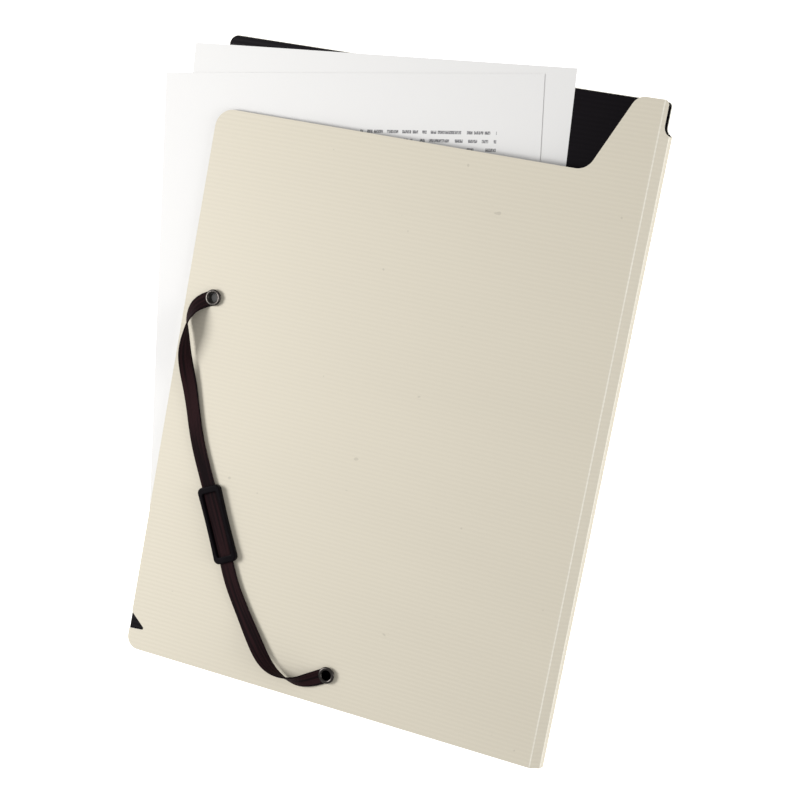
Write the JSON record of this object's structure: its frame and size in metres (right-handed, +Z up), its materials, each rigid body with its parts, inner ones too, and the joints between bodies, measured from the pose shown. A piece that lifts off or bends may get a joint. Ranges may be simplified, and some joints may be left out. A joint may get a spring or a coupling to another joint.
{
  "type": "elastic band document folder",
  "caption": "Flat two-cover document folder with a creased spine, a stepped front cover, a twisted elastic corner band with a slider, and loose sheets inside.",
  "frame": {"origin": "centre of the back cover's outer face, which the folder lies on", "axes": "+X to the spine, +Y to the top edge, +Z up, out of the front cover"},
  "size_m": [0.277, 0.3493, 0.0154],
  "materials": {
    "folder_sheet": "satin sheet with fine ribs, cream outside and black inside",
    "elastic": "flat knitted elastic, dark brown",
    "eyelet_metal": "gunmetal plating",
    "slider_plastic": "moulded satin black",
    "paper": "uncoated office paper"
  },
  "bodies": {
    "back": {"back_cover": "folder_sheet", "rear_sheet": "paper", "front_sheet": "paper"},
    "rear_panel": {"spine_rear_panel": "folder_sheet"},
    "front_panel": {"spine_front_panel": "folder_sheet"},
    "front": {"front_cover": "folder_sheet", "elastic_band": "elastic", "upper_eyelet": "eyelet_metal", "lower_eyelet": "eyelet_metal", "upper_eyelet_washer": "eyelet_metal", "lower_eyelet_washer": "eyelet_metal"},
    "slider": {"band_slider": "slider_plastic"}
  },
  "joints": [
    {"name": "rear_crease", "type": "hinge", "parent": "back", "child": "rear_panel", "pos_m": [0.12125, 0, 0.0004], "axis": [0, 1, 0], "range_deg": [0, 100]},
    {"name": "middle_crease", "type": "hinge", "parent": "rear_panel", "child": "front_panel", "pos_m": [0.12023, 0, 0.00406], "axis": [0, 1, 0], "range_deg": [0, 33]},
    {"name": "front_crease", "type": "hinge", "parent": "front_panel", "child": "front", "pos_m": [0.11578, 0, 0.00793], "axis": [0, 1, 0], "range_deg": [0, 42]},
    {"name": "slider_travel", "type": "slide", "parent": "front", "child": "slider", "axis": [0.4383, -0.8988, 0.0092], "range_m": [-0.025, 0.012]}
  ]
}
